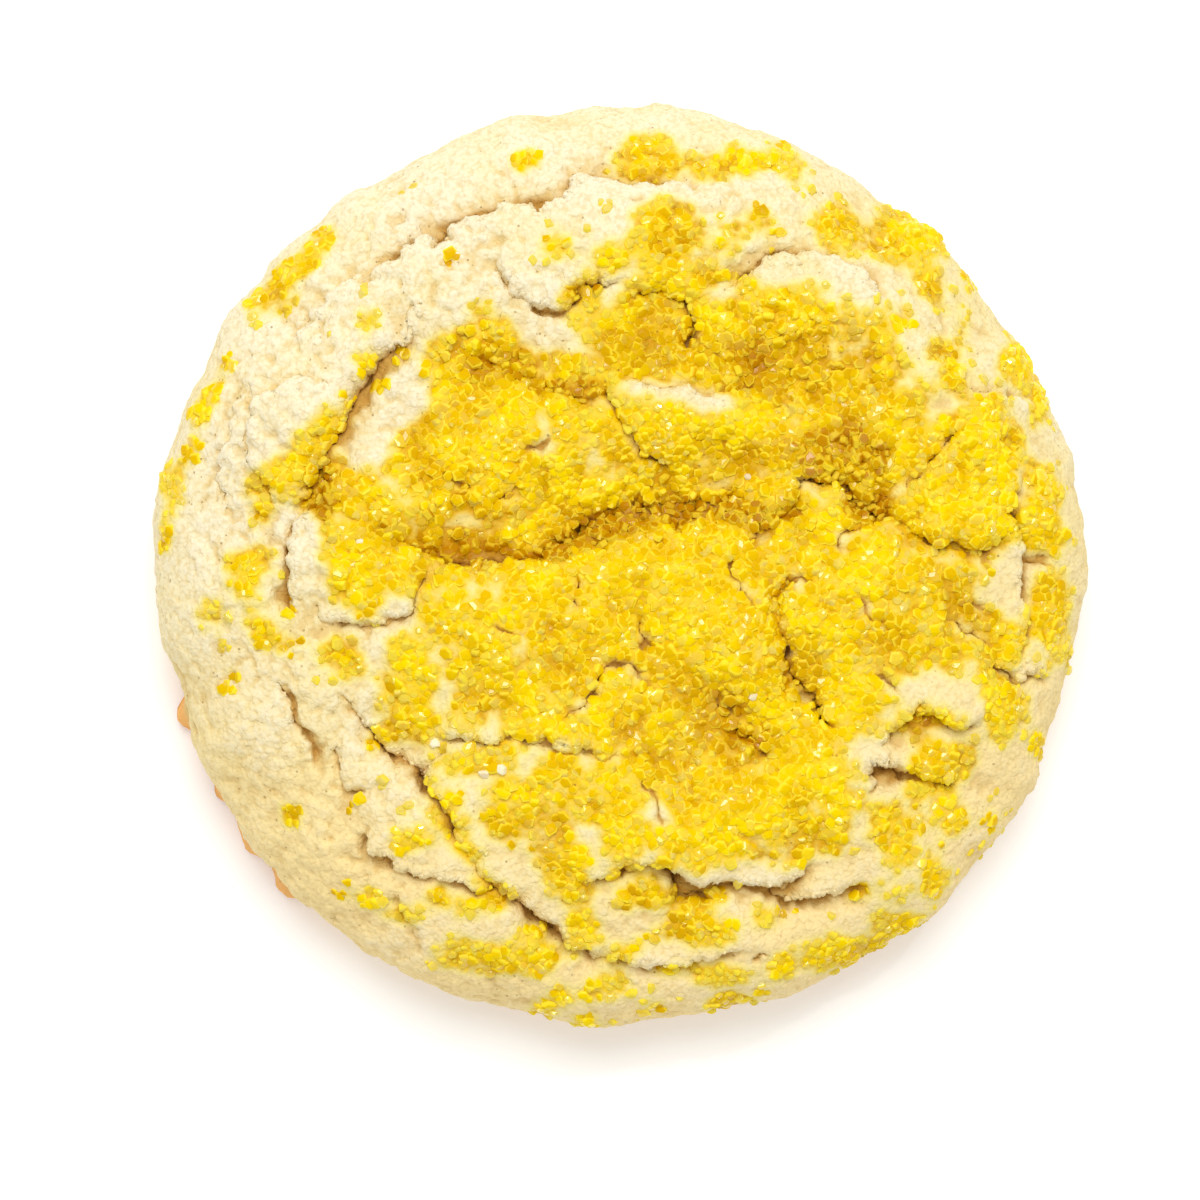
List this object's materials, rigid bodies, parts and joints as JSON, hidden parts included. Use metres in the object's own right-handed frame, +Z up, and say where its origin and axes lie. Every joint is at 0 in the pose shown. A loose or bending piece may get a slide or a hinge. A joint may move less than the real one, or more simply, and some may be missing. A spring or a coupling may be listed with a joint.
{
  "type": "sugar cookie",
  "caption": "Thick, soft, round baked cookie with a cracked and folded top strewn with coarse yellow sugar, lying on its flat base.",
  "frame": {"origin": "middle of the flat underside, at the level that it rests on", "axes": "+Z up through the thickness, from the underside to the crinkled top; +Y points away from the lower folds, towards the upper rim"},
  "size_m": [0.0878, 0.0871, 0.0201],
  "materials": {
    "dough": "pale baked dough, matt and finely pitted, browned at the foot"
  },
  "bodies": {
    "root": {"cookie": "dough"}
  },
  "joints": []
}
